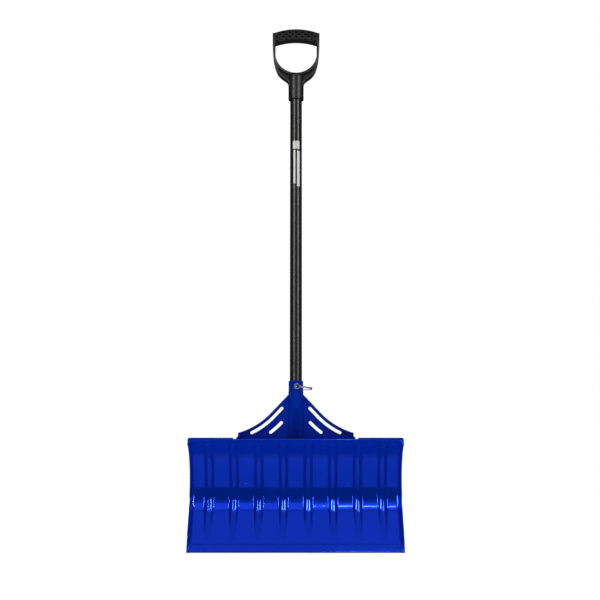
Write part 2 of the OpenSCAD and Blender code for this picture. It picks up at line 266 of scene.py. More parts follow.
def without_voids(piece):
    """Drops the closed spaces that a union leaves inside a piece: all but its largest shell."""
    bm = bmesh.new()
    bm.from_mesh(piece.data)
    shells = []
    left = set(bm.verts)
    while left:
        shell = {left.pop()}
        edge = list(shell)
        while edge:
            near = {e.other_vert(v) for v in edge for e in v.link_edges} - shell
            shell |= near
            edge = list(near)
        left -= shell
        shells.append(shell)
    shells.sort(key=len)
    for shell in shells[:-1]:
        bmesh.ops.delete(bm, geom=list(shell), context="VERTS")
    bm.to_mesh(piece.data)
    bm.free()
    return piece


def united(name, parts):
    """One closed mesh from several overlapping closed ones."""
    first = parts[0]
    others = bpy.data.collections.new(name + "_parts")
    for part in parts[1:]:
        others.objects.link(part)
    union = first.modifiers.new("union", "BOOLEAN")
    union.operation = "UNION"
    union.solver = "MANIFOLD"
    union.operand_type = "COLLECTION"
    union.collection = others
    applied(first)
    for part in parts[1:]:
        bpy.data.objects.remove(part)
    bpy.data.collections.remove(others)
    first.name = name
    return without_voids(first)


def cut(piece, tool):
    """Takes a closed tool away from a piece."""
    hole = piece.modifiers.new("cut", "BOOLEAN")
    hole.operation = "DIFFERENCE"
    hole.solver = "MANIFOLD"
    hole.object = tool
    applied(piece)
    bpy.data.objects.remove(tool)
    return piece


def shade(piece, angle=35):
    """Smooth shading that keeps edges sharper than angle."""
    mesh = piece.data
    for face in mesh.polygons:
        face.use_smooth = True
    mesh.set_sharp_from_angle(angle=math.radians(angle))
    return piece


UPRIGHT = Matrix.Rotation(math.pi / 2, 4, "X")
SIDEWAYS = Matrix(((0, 0, 1, 0), (1, 0, 0, 0), (0, 1, 0, 0), (0, 0, 0, 1)))


def plate(name, outlines, depth, edge, turn, at=(0, 0, 0)):
    """A flat plate with rounded edges from closed outlines, holes among them."""
    curve = bpy.data.curves.new(name, "CURVE")
    curve.dimensions = "2D"
    curve.fill_mode = "BOTH"
    curve.extrude = (depth / 2 - edge) * MM
    curve.bevel_depth = edge * MM
    curve.bevel_resolution = 2
    curve.offset = -edge * MM
    for outline in outlines:
        spline = curve.splines.new("POLY")
        spline.points.add(len(outline) - 1)
        for point, (x, y) in zip(spline.points, outline):
            point.co = (x * MM, y * MM, 0, 1)
        spline.use_cyclic_u = True
    source = link(name + "_curve", curve)
    bpy.context.view_layer.update()
    graph = bpy.context.evaluated_depsgraph_get()
    mesh = bpy.data.meshes.new_from_object(source.evaluated_get(graph))
    bpy.data.objects.remove(source)
    mesh.transform(Matrix.Translation(Vector(at) * MM) @ turn)
    bm = bmesh.new()
    bm.from_mesh(mesh)
    bmesh.ops.remove_doubles(bm, verts=bm.verts, dist=1e-3 * MM)
    bmesh.ops.recalc_face_normals(bm, faces=bm.faces)
    bm.to_mesh(mesh)
    bm.free()
    return link(name, mesh)


def lathe(name, outline, turn, at=(0, 0, 0), sides=96, shape=None):
    """A closed ring outline, as (radius, height), turned about an axis."""
    points = []
    for r, z in outline:
        for k in range(sides):
            a = 2 * math.pi * k / sides
            radius = shape(r, z, a) if shape else r
            points.append((radius * math.cos(a), radius * math.sin(a), z))
    matrix = Matrix.Translation(Vector(at)) @ turn
    points = [matrix @ Vector(p) for p in points]
    rows = len(outline)
    faces = grid(rows, sides, around=True)
    last = (rows - 1) * sides
    if outline[0] == outline[-1]:
        pass
    else:
        faces.append(tuple(range(sides)))
        faces.append(tuple(range(last, last + sides)))
    return solid(name, points, faces)


def rounded(points, radius, count=6):
    """An open path whose corners are cut by a curve that starts radius before them."""
    points = [Vector(p) for p in points]
    path = [points[0]]
    for before, corner, after in zip(points, points[1:], points[2:]):
        a = before - corner
        b = after - corner
        reach = min(radius, a.length * 0.48, b.length * 0.48)
        start = corner + a.normalized() * reach
        end = corner + b.normalized() * reach
        for t in steps(0, 1, count):
            path.append((1 - t) ** 2 * start + 2 * t * (1 - t) * corner + t * t * end)
    path.append(points[-1])
    return path


def mirrored(path):
    return [(-p[0], p[1]) for p in reversed(path)]


def left_of(path, distance):
    """A flat open path moved to its left."""
    moved = []
    for i, p in enumerate(path):
        run = Vector(path[min(i + 1, len(path) - 1)]) - Vector(path[max(i - 1, 0)])
        run.normalize()
        moved.append((p[0] - run.y * distance, p[1] + run.x * distance))
    return moved


# ---- Blade ----

def profile():
    """Face of the blade from the cutting edge to the lip: (reach, height, lean)."""
    rows = []
    low = [0, 1.8, 2.7, 3.5, 4.6, 8, 12, 16, 18.6, 19.4, 20.2, 21, 22, 24]
    for z in low + steps(28, STRAIGHT_Z, 16)[:-1]:
        rows.append((EDGE_F - z * math.tan(LOW_LEAN), z, LOW_LEAN))
    for a in steps(LOW_LEAN, 0, 24):
        rows.append((LOW_R * (1 - math.cos(a)), DEEP_Z - LOW_R * math.sin(a), a))
    for a in steps(0, TOP_LEAN, 40)[1:]:
        rows.append((TOP_R * (1 - math.cos(a)), DEEP_Z + TOP_R * math.sin(a), -a))
    return rows


def rib_outline():
    """Half of a rib from its crest outwards: (side, height), with round crest and foot."""
    points = [(0, RIB_H)]
    lean = 0
    for radius, end in RIB_ROUNDS:
        x, h = points[-1]
        centre = (x - radius * math.sin(lean), h - radius * math.cos(lean))
        for a in steps(lean, math.radians(end), 5)[1:]:
            points.append((centre[0] + radius * math.sin(a), centre[1] + radius * math.cos(a)))
        lean = math.radians(end)
    x, h = points[-1]
    foot_h = RIB_FOOT_R * (1 - math.cos(lean))
    half = x + (h - foot_h) / math.tan(lean) + RIB_FOOT_R * math.sin(lean)
    for a in steps(lean, 0, 7):
        points.append((half - RIB_FOOT_R * math.sin(a), RIB_FOOT_R * (1 - math.cos(a))))
    return points


def rib_size(z):
    """Share of its full height that a rib has at height z."""
    grown = min(1.0, max(0.0, (z - RIB_END_Z) / (RIB_FULL_Z - RIB_END_Z)))
    return grown * (1 - ramp(z, LIP_Z - RIB_RUN_OUT, LIP_Z))


def rib_width(z):
    k = min(1.0, max(0.0, (z - RIB_END_Z) / (RIB_FULL_Z - RIB_END_Z)))
    return 0.3 + 0.7 * math.sqrt(1 - (1 - k) ** 2)


def flange_height(z):
    return FLANGE_LOW_H + (FLANGE_H - FLANGE_LOW_H) * ramp(z, 0, FLANGE_FULL_Z)


def edge_strip(z):
    """Height of the thicker strip over the face, less the chamfer at the very edge."""
    return STRIP_H * (1 - ramp(z, STRIP_Z - 1, STRIP_Z + 1)) - CHAMFER_H * (1 - min(1, z / CHAMFER_Z))


RIB = rib_outline()


def section(z):
    """Section across the blade at height z: (side, height over the face)."""
    inner = BLADE_W / 2 - WALL
    side = []
    for a in steps(0, math.pi / 2, 12):
        side.append((inner - FLANGE_W + FLANGE_W * math.sin(a),
                     flange_height(z) * (1 - math.cos(a))))
    points = mirrored(side)
    for k in range(RIB_COUNT):
        middle = (k - (RIB_COUNT - 1) / 2) * RIB_PITCH
        half = [(x * rib_width(z), h * rib_size(z)) for x, h in RIB]
        points += [(middle - x, h) for x, h in reversed(half)]
        points += [(middle + x, h) for x, h in half[1:]]
        end = middle + half[-1][0]
        following = middle + RIB_PITCH - half[-1][0] if k < RIB_COUNT - 1 else side[0][0]
        points += [(x, 0) for x in steps(end, following, 4)[1:-1]]
    start = points[len(side)][0]
    first = points[len(side) - 1][0]
    points[len(side):len(side)] = [(x, 0) for x in steps(first, start, 4)[1:-1]]
    return points + side


def place(point, row, level):
    """Puts a section's point on the profile; the cutting edge is cut off level."""
    x, h = point
    reach, z, lean = row
    if level:
        return (x, DEEP_Y - reach - h / math.cos(lean), 0)
    return (x, DEEP_Y - reach - h * math.cos(lean), z + h * math.sin(lean))


def blade_skin():
    rows = profile()
    front = []
    back = []
    for i, row in enumerate(rows):
        across = section(row[1])
        cols = len(across)
        extra = edge_strip(row[1])
        front += [place((x, h + extra), row, i == 0) for x, h in across]
        back += [place(p, row, i == 0) for p in left_of(across, -WALL)]
    n = len(front)
    faces = grid(len(rows), cols) + grid(len(rows), cols, n, flip=True)
    top = n - cols
    for c in range(cols - 1):
        faces.append((c, n + c, n + c + 1, c + 1))
        faces.append((top + c, top + c + 1, n + top + c + 1, n + top + c))
    for r in range(len(rows) - 1):
        a = r * cols
        b = a + cols - 1
        faces.append((a, a + cols, n + a + cols, n + a))
        faces.append((b, n + b, n + b + cols, b + cols))
    skin = solid("blade", front + back, faces)
    return rounded_edges(skin, 1.1, angle=48)


def lip_rim(side):
    """Upright rim at one end of the lip, with a web that fills the corner under it."""
    half = BLADE_W / 2
    top = LIP_Z + RIM_H
    bend = half - WALL - FLANGE_W
    drop = FLANGE_H * math.sin(TOP_LEAN)
    outline = [(RIM_GAP, LIP_Z - 1), (RIM_GAP + RIM_H / 2, top)]
    outline += [(half - RIM_CORNER * (1 - math.sin(a)), top - RIM_CORNER * (1 - math.cos(a)))
                for a in steps(0, math.pi / 2, 8)]
    outline.append((half, LIP_Z - drop))
    outline += [(bend + FLANGE_W * math.sin(a), LIP_Z - drop * (1 - math.cos(a)))
                for a in steps(math.pi / 2, 0.25, 8)]
    outline.append((bend, LIP_Z - 1))
    outline = [(side * x, z) for x, z in outline]
    return plate("rim", [outline], WALL, 0.9, UPRIGHT, (0, DEEP_Y - LIP_F + WALL / 2, 0))


def make_blade():
    return united("scoop_blade", [blade_skin(), lip_rim(1), lip_rim(-1)])


# ---- Yoke ----

def edge_point(inset, run):
    """Point on the web's edge: run is negative up the straight, positive along the arc."""
    a = EDGE_SLOPE - max(0, run) / EDGE_R
    on_arc = TURN_C - (EDGE_R + inset) * Vector((math.sin(a), math.cos(a)))
    return on_arc + max(0, -run) * Vector((-math.cos(EDGE_SLOPE), math.sin(EDGE_SLOPE)))


EDGE_STOP = (EDGE_SLOPE - math.asin((TURN_C.x - WEB_END) / EDGE_R)) * EDGE_R


def edge_path(inset, start, end, count=16):
    return [edge_point(inset, start)] + [edge_point(inset, s)
                                         for s in steps(max(start, 0), end, count)]


def slot_outline(spot, width):
    """A slot with round ends that runs beside the web's edge."""
    inset, start, end = spot
    near = edge_path(inset - width / 2, start, end)
    far = edge_path(inset + width / 2, start, end)
    outline = list(near)
    for s, before, after in ((end, near[-1], far[-1]), (start, far[0], near[0])):
        middle = edge_point(inset, s)
        spoke = before - middle
        for a in steps(0, -math.pi, 10)[1:-1]:
            outline.append(middle + Matrix.Rotation(a, 2) @ spoke)
        if s == end:
            outline += reversed(far)
    return outline


def both(outline):
    return [outline, [(-p[0], p[1]) for p in reversed(outline)]]


def web_outline(inset):
    """The web's outline over both sides, moved inwards."""
    right = [(FOOT_END - inset, WEB_LOW + inset), (FOOT_END - inset, FOOT_Z - inset * 0.6),
             (WEB_END - inset, FOOT_Z + 3 - inset * 0.6)]
    top = edge_path(inset, -EDGE_RUN, EDGE_STOP - inset)
    right += [(p[0], p[1]) for p in reversed(top)]
    return right + [(-x, z) for x, z in reversed(right)]


def seat_point(gap, z):
    """Point behind the blade's back, gap away from it: (y, z)."""
    radius = LOW_R if z < DEEP_Z else TOP_R
    out = radius + WALL + gap
    return (DEEP_Y - radius + out * math.cos(math.asin((z - DEEP_Z) / out)), z)


def seat(gap, low, high, count=16):
    return [seat_point(gap, z) for z in steps(low, high, count)]


def gusset(x):
    low = DEEP_Z - PAD_REACH
    back = SHAFT_Y + WEB_T / 2
    outline = seat(SEAT_GAP, low, DECK_Z) + [(back, DECK_Z), (back, WEB_LOW),
                                             seat_point(SEAT_GAP + PAD_T, low)]
    return plate("gusset", [outline], RIB_T, 0.5, SIDEWAYS, (x, 0, 0))


def pad(x):
    low = DEEP_Z - PAD_REACH
    high = DEEP_Z + PAD_REACH
    outline = seat(SEAT_GAP, low, high) + seat(SEAT_GAP + PAD_T, low, high)[::-1]
    return plate("pad", [outline], 2 * PAD_HALF, 0.6, SIDEWAYS, (x, 0, 0))


def deck():
    outline = [seat_point(SEAT_GAP, DECK_Z - DECK_T), seat_point(SEAT_GAP, DECK_Z),
               (SHAFT_Y, DECK_Z), (SHAFT_Y, DECK_Z - DECK_T)]
    return plate("deck", [outline], 2 * WEB_END, 0.6, SIDEWAYS)


def fluted(radius, z, angle):
    """The socket's radius with shallow flutes down its front, below the step."""
    if radius < BORE_R + 1 or z > FLUTE_TOP:
        return radius
    off = (angle + math.pi / 2 + math.pi) % (2 * math.pi) - math.pi
    if abs(off) > FLUTE_STEP * FLUTE_COUNT / 2:
        return radius
    wave = (1 - math.cos(2 * math.pi * (off / FLUTE_STEP + 0.5))) / 2
    return radius - FLUTE_DEPTH * wave * (1 - ramp(z, FLUTE_TOP - 3, FLUTE_TOP))


def socket():
    slope = (TUBE_TOP_R - TUBE_LOW_R) / (SOCKET_STEP_Z - SOCKET_LOW)
    outer = [(TUBE_LOW_R - 1.2, SOCKET_LOW), (TUBE_LOW_R - 0.35, SOCKET_LOW + 0.35),
             (TUBE_LOW_R, SOCKET_LOW + 1.2)]
    heights = steps(SOCKET_LOW + 8, FLUTE_TOP - 4, 12) + steps(FLUTE_TOP - 3, FLUTE_TOP, 6)
    for z in heights + steps(FLUTE_TOP + 4, SOCKET_STEP_Z - 2, 4):
        outer.append((TUBE_LOW_R + slope * (z - SOCKET_LOW), z))
    for t in steps(0, 1, 6):
        outer.append((TUBE_TOP_R + (COLLAR_R - TUBE_TOP_R) * ramp(t, 0, 1),
                      SOCKET_STEP_Z - 2 + 6 * t))
    for a in steps(0, math.pi / 2, 6):
        outer.append((COLLAR_R - 1.1 * (1 - math.cos(a)), SOCKET_TOP - 1.1 * (1 - math.sin(a))))
    inner = [(BORE_R + 0.6, SOCKET_TOP), (BORE_R, SOCKET_TOP - 0.6), (BORE_R, LEDGE_Z),
             (SHAFT_R - 1, LEDGE_Z), (SHAFT_R - 1, SOCKET_LOW)]
    outline = outer + inner
    return lathe("socket", outline + outline[:1], Matrix.Identity(4), (0, SHAFT_Y, 0),
                 sides=240, shape=fluted)


def make_yoke():
    at = (0, SHAFT_Y, 0)
    slots = [slot_outline(s, SLOT_W) for s in (LONG_SLOT, SHORT_SLOT)]
    holes = [hole for slot in slots for hole in both(slot)]
    parts = [socket(), plate("web", [web_outline(0)] + holes, WEB_T, 0.5, UPRIGHT, at),
             plate("edge", [web_outline(0), web_outline(EDGE_T)], EDGE_D, EDGE_ROUND, UPRIGHT,
                   at)]
    for spot, hole in zip((LONG_SLOT, SHORT_SLOT), slots):
        outer = slot_outline(spot, SLOT_W + 2 * SLOT_RIM)
        for rim, gap in zip(both(outer), both(hole)):
            parts.append(plate("slot_rim", [rim, gap], WEB_T + 2 * SLOT_LIFT, 0.9, UPRIGHT, at))
    for side in (-1, 1):
        for x in (RIB_PITCH, RIVET_X - PAD_HALF + RIB_T / 2, RIVET_X + PAD_HALF - RIB_T / 2):
            parts.append(gusset(side * x))
        parts.append(pad(side * RIVET_X))
    parts.append(deck())
    return united("socket_yoke", parts)


# ---- Fasteners, pin and bail ----

FORWARD = Matrix.Rotation(math.pi / 2, 4, "X")
BACKWARD = Matrix.Rotation(-math.pi / 2, 4, "X")


def make_rivets():
    parts = []
    head_r = (RIVETS_HIGH.z - RIVETS_LOW.z) / 2
    front = DEEP_Y - RIVETS_LOW.y
    back = RIVETS_HIGH.y - DEEP_Y
    dome = [(max(0.05, head_r * math.cos(a)), -0.4 - (front - 0.4) * math.sin(a))
            for a in steps(math.pi / 2, 0, 10)]
    tail = [(4.0, back - 1.8), (3.9, back - 0.9), (3.3, back - 0.2), (2.4, back), (0.05, back)]
    outline = dome + [(2.4, -0.4), (2.4, back - 1.8)] + tail
    for side in (-1, 1):
        parts.append(lathe("rivet", outline, BACKWARD, (side * RIVET_X, DEEP_Y, DEEP_Z), 48))
    return joined("blade_rivets", parts)


def make_washers():
    parts = []
    outer = (WASHERS_HIGH.z - WASHERS_LOW.z) / 2
    thick = WASHERS_HIGH.y - WASHERS_LOW.y
    outline = [(2.6, 0.1), (2.8, 0), (outer - 0.3, 0), (outer, 0.3), (outer, thick - 0.35),
               (outer - 0.35, thick), (2.9, thick), (2.6, thick - 0.2)]
    for side in (-1, 1):
        at = (side * RIVET_X, WASHERS_LOW.y, DEEP_Z)
        parts.append(lathe("washer", outline + outline[:1], BACKWARD, at, 48))
    return joined("backing_washers", parts)


def joined(name, parts):
    """Several separate solids as one piece."""
    bm = bmesh.new()
    for part in parts:
        bm.from_mesh(part.data)
    mesh = bpy.data.meshes.new(name)
    bm.to_mesh(mesh)
    bm.free()
    for part in parts:
        bpy.data.objects.remove(part)
    return link(name, mesh)


def make_pin():
    outline = [(0.05, PIN_TIP), (2.2, PIN_TIP), (3.0, PIN_TIP - 0.25), (3.7, PIN_TIP - 0.8),
               (PIN_R, PIN_TIP - 1.6), (PIN_R, -PIN_SHOULDER), (PIN_HEAD_R - 0.5, -PIN_SHOULDER),
               (PIN_HEAD_R, -PIN_SHOULDER - 0.5), (PIN_HEAD_R, -PIN_END + 1.2),
               (PIN_HEAD_R - 0.3, -PIN_END + 0.5), (PIN_HEAD_R - 1, -PIN_END), (0.05, -PIN_END)]
    pin = lathe("lock_pin_body", outline, FORWARD, (0, SHAFT_Y, PIN_Z), 64)
    hole = lathe("pin_hole", [(WIRE_R + 0.25, -9), (WIRE_R + 0.25, 9)],
                 Matrix.Rotation(BAIL_TILT, 4, "Y"), (0, SHAFT_Y + BAIL_PIVOT, PIN_Z), 32)
    return cut(pin, hole)


def bail_path():
    """The bail's wire, from one end in the pin's head round the loop to the other."""
    end = Vector((LOOP_R * math.cos(LOOP_TURN), LOOP_R * math.sin(LOOP_TURN)))
    run = (end.y - BAIL_STRAND) / math.cos(LOOP_TURN)
    loop = [Vector((LOOP_SIDE + LOOP_R * math.cos(a), LOOP_R * math.sin(a), BAIL_FRONT))
            for a in steps(math.pi, LOOP_TURN, 18)[:-1]]
    route = rounded([
        (LOOP_SIDE + end.x, end.y, BAIL_FRONT),
        (LOOP_SIDE + end.x + run * math.sin(LOOP_TURN), BAIL_STRAND, BAIL_FRONT),
        (BAIL_REACH, BAIL_STRAND, BAIL_FRONT),
        (BAIL_REACH, BAIL_STRAND, -BAIL_PIVOT),
        (12, BAIL_EYE, -BAIL_PIVOT),
        (0, BAIL_EYE, -BAIL_PIVOT),
        (0, 1.6, -BAIL_PIVOT)], 9, 8)
    upper = loop + route
    lower = [Vector((p.x, -p.y, p.z)) for p in reversed(upper[1:])]
    return lower + upper


def make_bail():
    path = bail_path()
    sides = 16
    last = len(path) - 1
    points = []
    normal = Vector((1, 0, 0))
    for i, p in enumerate(path):
        along = (path[min(i + 1, last)] - path[max(i - 1, 0)]).normalized()
        normal = (normal - normal.dot(along) * along).normalized()
        across = along.cross(normal)
        for k in range(sides):
            a = 2 * math.pi * k / sides
            points.append(p + WIRE_R * (math.cos(a) * normal + math.sin(a) * across))
    turn = Matrix.Translation((0, SHAFT_Y, PIN_Z)) @ FORWARD @ Matrix.Rotation(-BAIL_TILT, 4, "Z")
    faces = grid(len(path), sides, around=True)
    faces.append(tuple(range(sides)))
    faces.append(tuple(range(last * sides, (last + 1) * sides)))
    return solid("snap_bail", [turn @ p for p in points], faces)


# ---- Shaft and screw ----

def make_shaft():
    """The tube, with rounded ends and its pin and screw holes."""
    bore = SHAFT_R - SHAFT_WALL
    low, high = SHAFT_LOW.z, SHAFT_HIGH.z
    edge = 0.35
    outline = [(bore + edge, low), (SHAFT_R - edge, low), (SHAFT_R, low + edge),
               (SHAFT_R, high - edge), (SHAFT_R - edge, high), (bore + edge, high),
               (bore, high - edge), (bore, low + edge)]
    tube = lathe("tube_shaft", outline + outline[:1], Matrix.Identity(4), (0, SHAFT_Y, 0), 144)
    reach = SHAFT_R + 2
    pin = lathe("pin_hole", [(PIN_R + 0.08, -reach), (PIN_R + 0.08, reach)], FORWARD,
                (0, SHAFT_Y, PIN_Z), 48)
    screw = lathe("screw_hole", [(SCREW_R + 0.08, 0), (SCREW_R + 0.08, reach)], BACKWARD,
                  (0, SHAFT_Y, SCREW_Z), 32)
    return cut(cut(tube, pin), screw)


def make_screw():
    """A pan-head screw with a cross recess."""
    head = SCREW_HIGH.y - SHAFT_Y
    start = SCREW_LOW.y - SHAFT_Y
    under = head - 2.6
    head_r = (SCREW_HIGH.x - SCREW_LOW.x) / 2
    outline = [(0.05, start), (SCREW_R - 0.6, start), (SCREW_R, start + 0.6), (SCREW_R, under),
               (head_r - 0.2, under), (head_r, under + 0.3)]
    outline += [(head_r - 1.5 * (1 - math.cos(a)), head - 1.6 * (1 - math.sin(a)))
                for a in steps(0, math.pi / 2, 6)]
    outline.append((0.05, head))
    screw = lathe("pan_screw", outline, BACKWARD, (0, SHAFT_Y, SCREW_Z), 48)
    for turn in (0, math.pi / 2):
        slot = [(x * math.cos(turn) - z * math.sin(turn), SCREW_Z + x * math.sin(turn)
                 + z * math.cos(turn)) for x, z in ((-2.2, -0.45), (2.2, -0.45), (2.2, 0.45),
                                                    (-2.2, 0.45))]
        screw = cut(screw, plate("cross", [slot], 2.8, 0.1, UPRIGHT, (0, SHAFT_Y + head, 0)))
    return screw


# ---- Grip ----

def arch_drop(x):
    """How far the bar's arch has come down at distance x from the middle."""
    return ARCH_R - math.sqrt(ARCH_R ** 2 - x ** 2)


def pocket_sites():
    sites = []
    for row in range(-2, 3):
        for n in range(-4, 5):
            x = POCKET_PITCH * (n + (0.5 if row % 2 else 0))
            z = POCKET_MID_Z + POCKET_ROW * row
            if abs(x) > GRIP_HALF - 10:
                continue
            below_top = GRIP_HIGH.z - arch_drop(x) - z
            if POCKET_MARGIN + POCKET_HALF[1] < below_top < BAR_H - POCKET_MARGIN - 1:
                sites.append((x, z))
    return sites


POCKETS = pocket_sites()


def pocket_depth(x, z):
    """Depth of the diamond pockets at a point on the bar's front or back."""
    depth = 0
    for px, pz in POCKETS:
        off = abs(x - px) / POCKET_HALF[0] + abs(z - pz) / POCKET_HALF[1]
        if off < 1.25:
            depth = max(depth, POCKET_DEPTH * (1 - ramp(off, 0.7, 1.15)))
    return depth


def grip_bar():
    """The arched bar with its pocketed front and back."""
    around = 176
    along = 260
    end_round = 1.6
    half = GRIP_HALF - 0.5
    ends = [(half - end_round * (1 - math.sin(a)), 1 - end_round * (1 - math.cos(a)) / BAR_D * 2)
            for a in steps(math.pi / 2, 0, 4)]
    stations = [(-x, k) for x, k in ends]
    stations += [(x, 1) for x in steps(-half + end_round, half - end_round, along)[1:-1]]
    stations += ends[::-1]
    points = []
    for x, grow in stations:
        middle = GRIP_HIGH.z - BAR_H / 2 - arch_drop(x)
        for k in range(around):
            a = 2 * math.pi * k / around
            c, s = math.cos(a), math.sin(a)
            z = middle + BAR_H / 2 * grow * math.copysign(abs(c) ** SQUARENESS, c)
            deep = BAR_D / 2 * grow * math.copysign(abs(s) ** SQUARENESS, s)
            sink = pocket_depth(x, z) if abs(deep) > BAR_D / 4 else 0
            points.append((x, SHAFT_Y + deep - math.copysign(sink, deep), z))
    faces = grid(len(stations), around, around=True)
    last = (len(stations) - 1) * around
    faces.append(tuple(range(around)))
    faces.append(tuple(range(last, last + around)))
    return solid("bar", points, faces)


def fork_side():
    return rounded([(GRIP_R, 1244), (GRIP_R + 0.8, 1256.5), (49.5, 1277.5), (60.5, 1309),
                    (63.9, 1340), (GRIP_HALF, 1370), (GRIP_HALF, FORK_TOP)], 14, 6)


def fork_outline(inset=0):
    side = left_of([(p[0], p[1]) for p in fork_side()], inset)
    return mirrored(side) + side


def hand_outline(grow=0, top=HAND_Z + 40):
    radius = HAND_R + grow
    arc = [(radius * math.cos(a), HAND_Z + radius * math.sin(a))
           for a in steps(math.pi, 2 * math.pi, 48)]
    return arc + [(radius, top), (-radius, top)]


def socket_sleeve():
    low = GRIP_LOW.z
    top = HAND_Z - HAND_R + 6
    shoulder = HAND_Z - HAND_R - SLEEVE_DOME
    bore = SHAFT_HIGH.z + 2
    outline = [(BORE_R, low + 0.5), (BORE_R + 0.6, low), (GRIP_R - 1.2, low)]
    outline += [(GRIP_R - 1.2 * (1 - math.sin(a)), low + 1.2 * (1 - math.cos(a)))
                for a in steps(0, math.pi / 2, 6)]
    outline += [(GRIP_R, z) for z in steps(low + 8, shoulder, 6)]
    outline += [(GRIP_R - SLEEVE_STEP * (1 - math.cos(a)), shoulder + SLEEVE_DOME * math.sin(a))
                for a in steps(0, math.pi / 2, 8)[1:]]
    outline += [(GRIP_R - SLEEVE_STEP, top), (0.05, top), (0.05, bore), (BORE_R, bore)]
    return lathe("sleeve", outline + outline[:1], Matrix.Identity(4), (0, SHAFT_Y, 0), 160)


def make_grip():
    at = (0, SHAFT_Y, 0)
    web = plate("web", [fork_outline()], FORK_T, 0.8, UPRIGHT, at)
    outer = plate("outer", [fork_outline(), fork_outline(FORK_RIM)], FORK_D, 2.0, UPRIGHT, at)
    sleeve = socket_sleeve()
    ring = plate("ring", [hand_outline(RING_W, HAND_Z + 46)], FORK_D + 2, 3.4, UPRIGHT, at)
    keep = plate("keep", [fork_outline()], FORK_D + 20, 0.5, UPRIGHT, at)
    both_in = ring.modifiers.new("keep", "BOOLEAN")
    both_in.operation = "INTERSECT"
    both_in.solver = "MANIFOLD"
    both_in.object = keep
    applied(ring)
    bpy.data.objects.remove(keep)
    body = united("fork", [web, outer, sleeve, ring])
    body = cut(body, plate("opening", [hand_outline()], 70, 0.5, UPRIGHT, at))
    boss = lathe("boss", [(0.05, 17), (7, 17), (7, SCREW_HIGH.y - SHAFT_Y - 3.2),
                          (6.4, SCREW_HIGH.y - SHAFT_Y - 2.6), (0.05, SCREW_HIGH.y - SHAFT_Y - 2.6)],
                 BACKWARD, (0, SHAFT_Y, (SCREW_LOW.z + SCREW_HIGH.z) / 2), 64)
    return united("d_handle", [body, grip_bar(), boss])


# ---- Materials ----

SOCKETS = {"ior": "IOR", "specular_ior_level": "Specular IOR Level"}


class Look:
    """A material whose nodes are added one at a time, in the object's own coordinates."""

    def __init__(self, name, **sockets):
        self.material = bpy.data.materials.new(name)
        self.material.use_nodes = True
        self.tree = self.material.node_tree
        self.shader = self.tree.nodes["Principled BSDF"]
        self.place = self.add("ShaderNodeTexCoord").outputs["Object"]
        for socket, value in sockets.items():
            name = SOCKETS.get(socket, socket.replace("_", " ").title())
            self.shader.inputs[name].default_value = value

    def add(self, kind, **settings):
        node = self.tree.nodes.new(kind)
        for key, value in settings.items():
            setattr(node, key, value)
        return node

    def feed(self, node, values):
        for socket, value in values.items():
            if isinstance(value, bpy.types.NodeSocket):
                self.tree.links.new(value, node.inputs[socket])
            else:
                node.inputs[socket].default_value = value
        return node

    def noise(self, scale, detail=2.0, stretch=(1, 1, 1)):
        """Noise of about 1/scale metres, stretched along the axes with small numbers."""
        place = self.feed(self.add("ShaderNodeMapping"), {"Vector": self.place, "Scale": stretch})
        values = {"Vector": place.outputs[0], "Scale": scale, "Detail": detail}
        return self.feed(self.add("ShaderNodeTexNoise"), values).outputs["Fac"]

    def spread(self, value, start, end, low, high):
        """Maps start to end on to low to high."""
        values = {"Value": value, "From Min": start, "From Max": end, "To Min": low, "To Max": high}
        return self.feed(self.add("ShaderNodeMapRange"), values).outputs[0]

    def math(self, operation, *values):
        node = self.add("ShaderNodeMath", operation=operation)
        return self.feed(node, dict(enumerate(values))).outputs[0]

    def axes(self):
        return self.feed(self.add("ShaderNodeSeparateXYZ"), {0: self.place}).outputs

    def mix(self, factor, first, second):
        node = self.add("ShaderNodeMix", data_type="RGBA")
        colours = [c if isinstance(c, bpy.types.NodeSocket) else (*c, 1) for c in (first, second)]
        return self.feed(node, {0: factor, 6: colours[0], 7: colours[1]}).outputs[2]

    def bump(self, height, depth_mm, below=None):
        values = {"Height": height, "Strength": 1.0, "Distance": depth_mm * MM}
        node = self.feed(self.add("ShaderNodeBump"), values)
        if below:
            self.tree.links.new(below, node.inputs["Normal"])
        return node.outputs[0]

    def done(self, colour, roughness, normal):
        self.feed(self.shader, {"Base Color": colour, "Roughness": roughness, "Normal": normal})
        return self.material


def blade_plastic():
    """Glossy royal blue moulding: slow colour drift, fine scuffs and a worn cutting edge."""
    look = Look("blade_plastic", ior=2.7, coat_weight=0.035, coat_roughness=0.04)
    look.shader.inputs["Specular Tint"].default_value = (0.01, 0.05, 1.0, 1)
    drift = look.spread(look.noise(7, 3), 0.35, 0.65, 0, 1)
    scratch = look.spread(look.noise(420, 3, (1, 1, 0.035)), 0.60, 0.72, 0, 1)
    height = look.axes()["Z"]
    wear = look.math("MULTIPLY", scratch, look.spread(height, 0.0, 0.045, 0.35, 0.0))
    rim = look.math("MULTIPLY", look.spread(height, 0.0005, 0.0035, 0.5, 0.0), look.noise(260, 4))
    colour = look.mix(drift, (0.0, 0.024, 0.31), (0.0, 0.028, 0.36))
    colour = look.mix(look.math("MAXIMUM", wear, rim), colour, (0.006, 0.045, 0.31))
    roughness = look.spread(look.noise(55, 3), 0.3, 0.7, 0.06, 0.09)
    roughness = look.math("ADD", roughness, look.math("MULTIPLY", wear, 0.25))
    flow = look.bump(look.noise(16, 1, (1, 1, 0.4)), 0.25)
    return look.done(colour, roughness, look.bump(look.noise(1500, 2), 0.006, flow))


